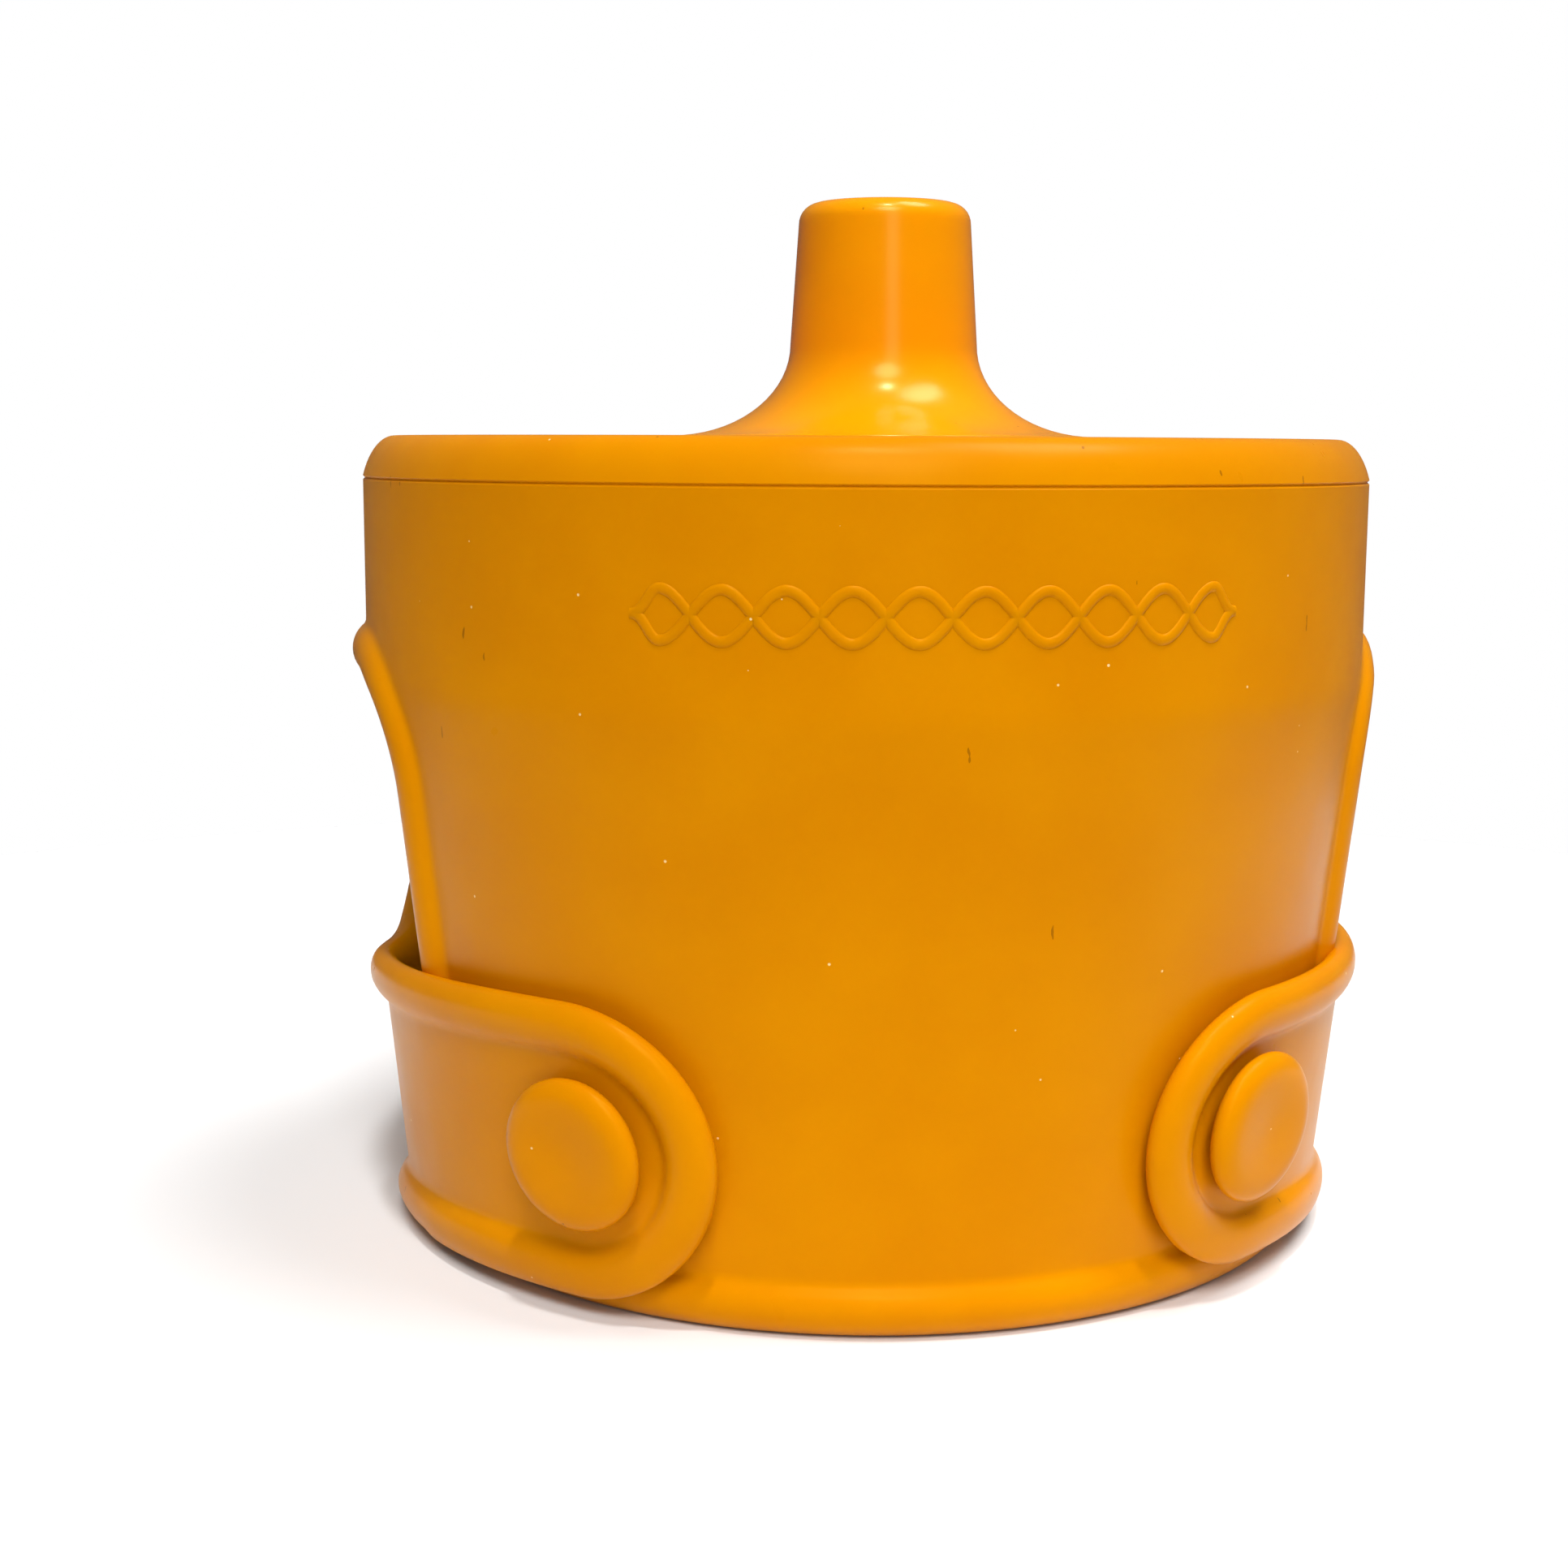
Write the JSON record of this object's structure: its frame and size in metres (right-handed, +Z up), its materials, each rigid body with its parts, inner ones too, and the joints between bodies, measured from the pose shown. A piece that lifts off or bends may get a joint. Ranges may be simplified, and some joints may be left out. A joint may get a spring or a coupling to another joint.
{
  "type": "strap-on holder cap",
  "caption": "Soft silicone holder cap with a top nozzle, side windows, and strap arms that wrap round the sides and button onto mushroom studs on the front apron.",
  "frame": {"origin": "on the standing plane, at the middle of the object's footprint, on the ring's axis", "axes": "+Z up along the ring's axis from the rim to the crown; the front, with the apron and the studs, faces -Y"},
  "size_m": [0.072, 0.07, 0.0704],
  "materials": {
    "cup_silicone": "satin moulded silicone, amber",
    "nozzle_silicone": "gloss moulded silicone, warmer amber",
    "strap_silicone": "satin moulded silicone, amber",
    "stud_silicone": "satin moulded silicone, amber"
  },
  "bodies": {
    "cup": {"cup_body": "cup_silicone", "nozzle": "nozzle_silicone", "stud_left": "stud_silicone", "stud_right": "stud_silicone"},
    "arm_left": {"strap_arm_left": "strap_silicone"},
    "arm_right": {"strap_arm_right": "strap_silicone"}
  },
  "joints": [
    {"name": "arm_left_release", "type": "hinge", "parent": "cup", "child": "arm_left", "pos_m": [-0.03475, 0, 0.0104], "axis": [0, 0, -1], "range_deg": [0, 80], "stiffness_Nm_per_rad": 0.002, "deforming": ["stud_left"]},
    {"name": "arm_right_release", "type": "hinge", "parent": "cup", "child": "arm_right", "pos_m": [0.03475, 0, 0.0104], "axis": [0, 0, 1], "range_deg": [0, 80], "stiffness_Nm_per_rad": 0.002, "deforming": ["stud_right"]}
  ]
}
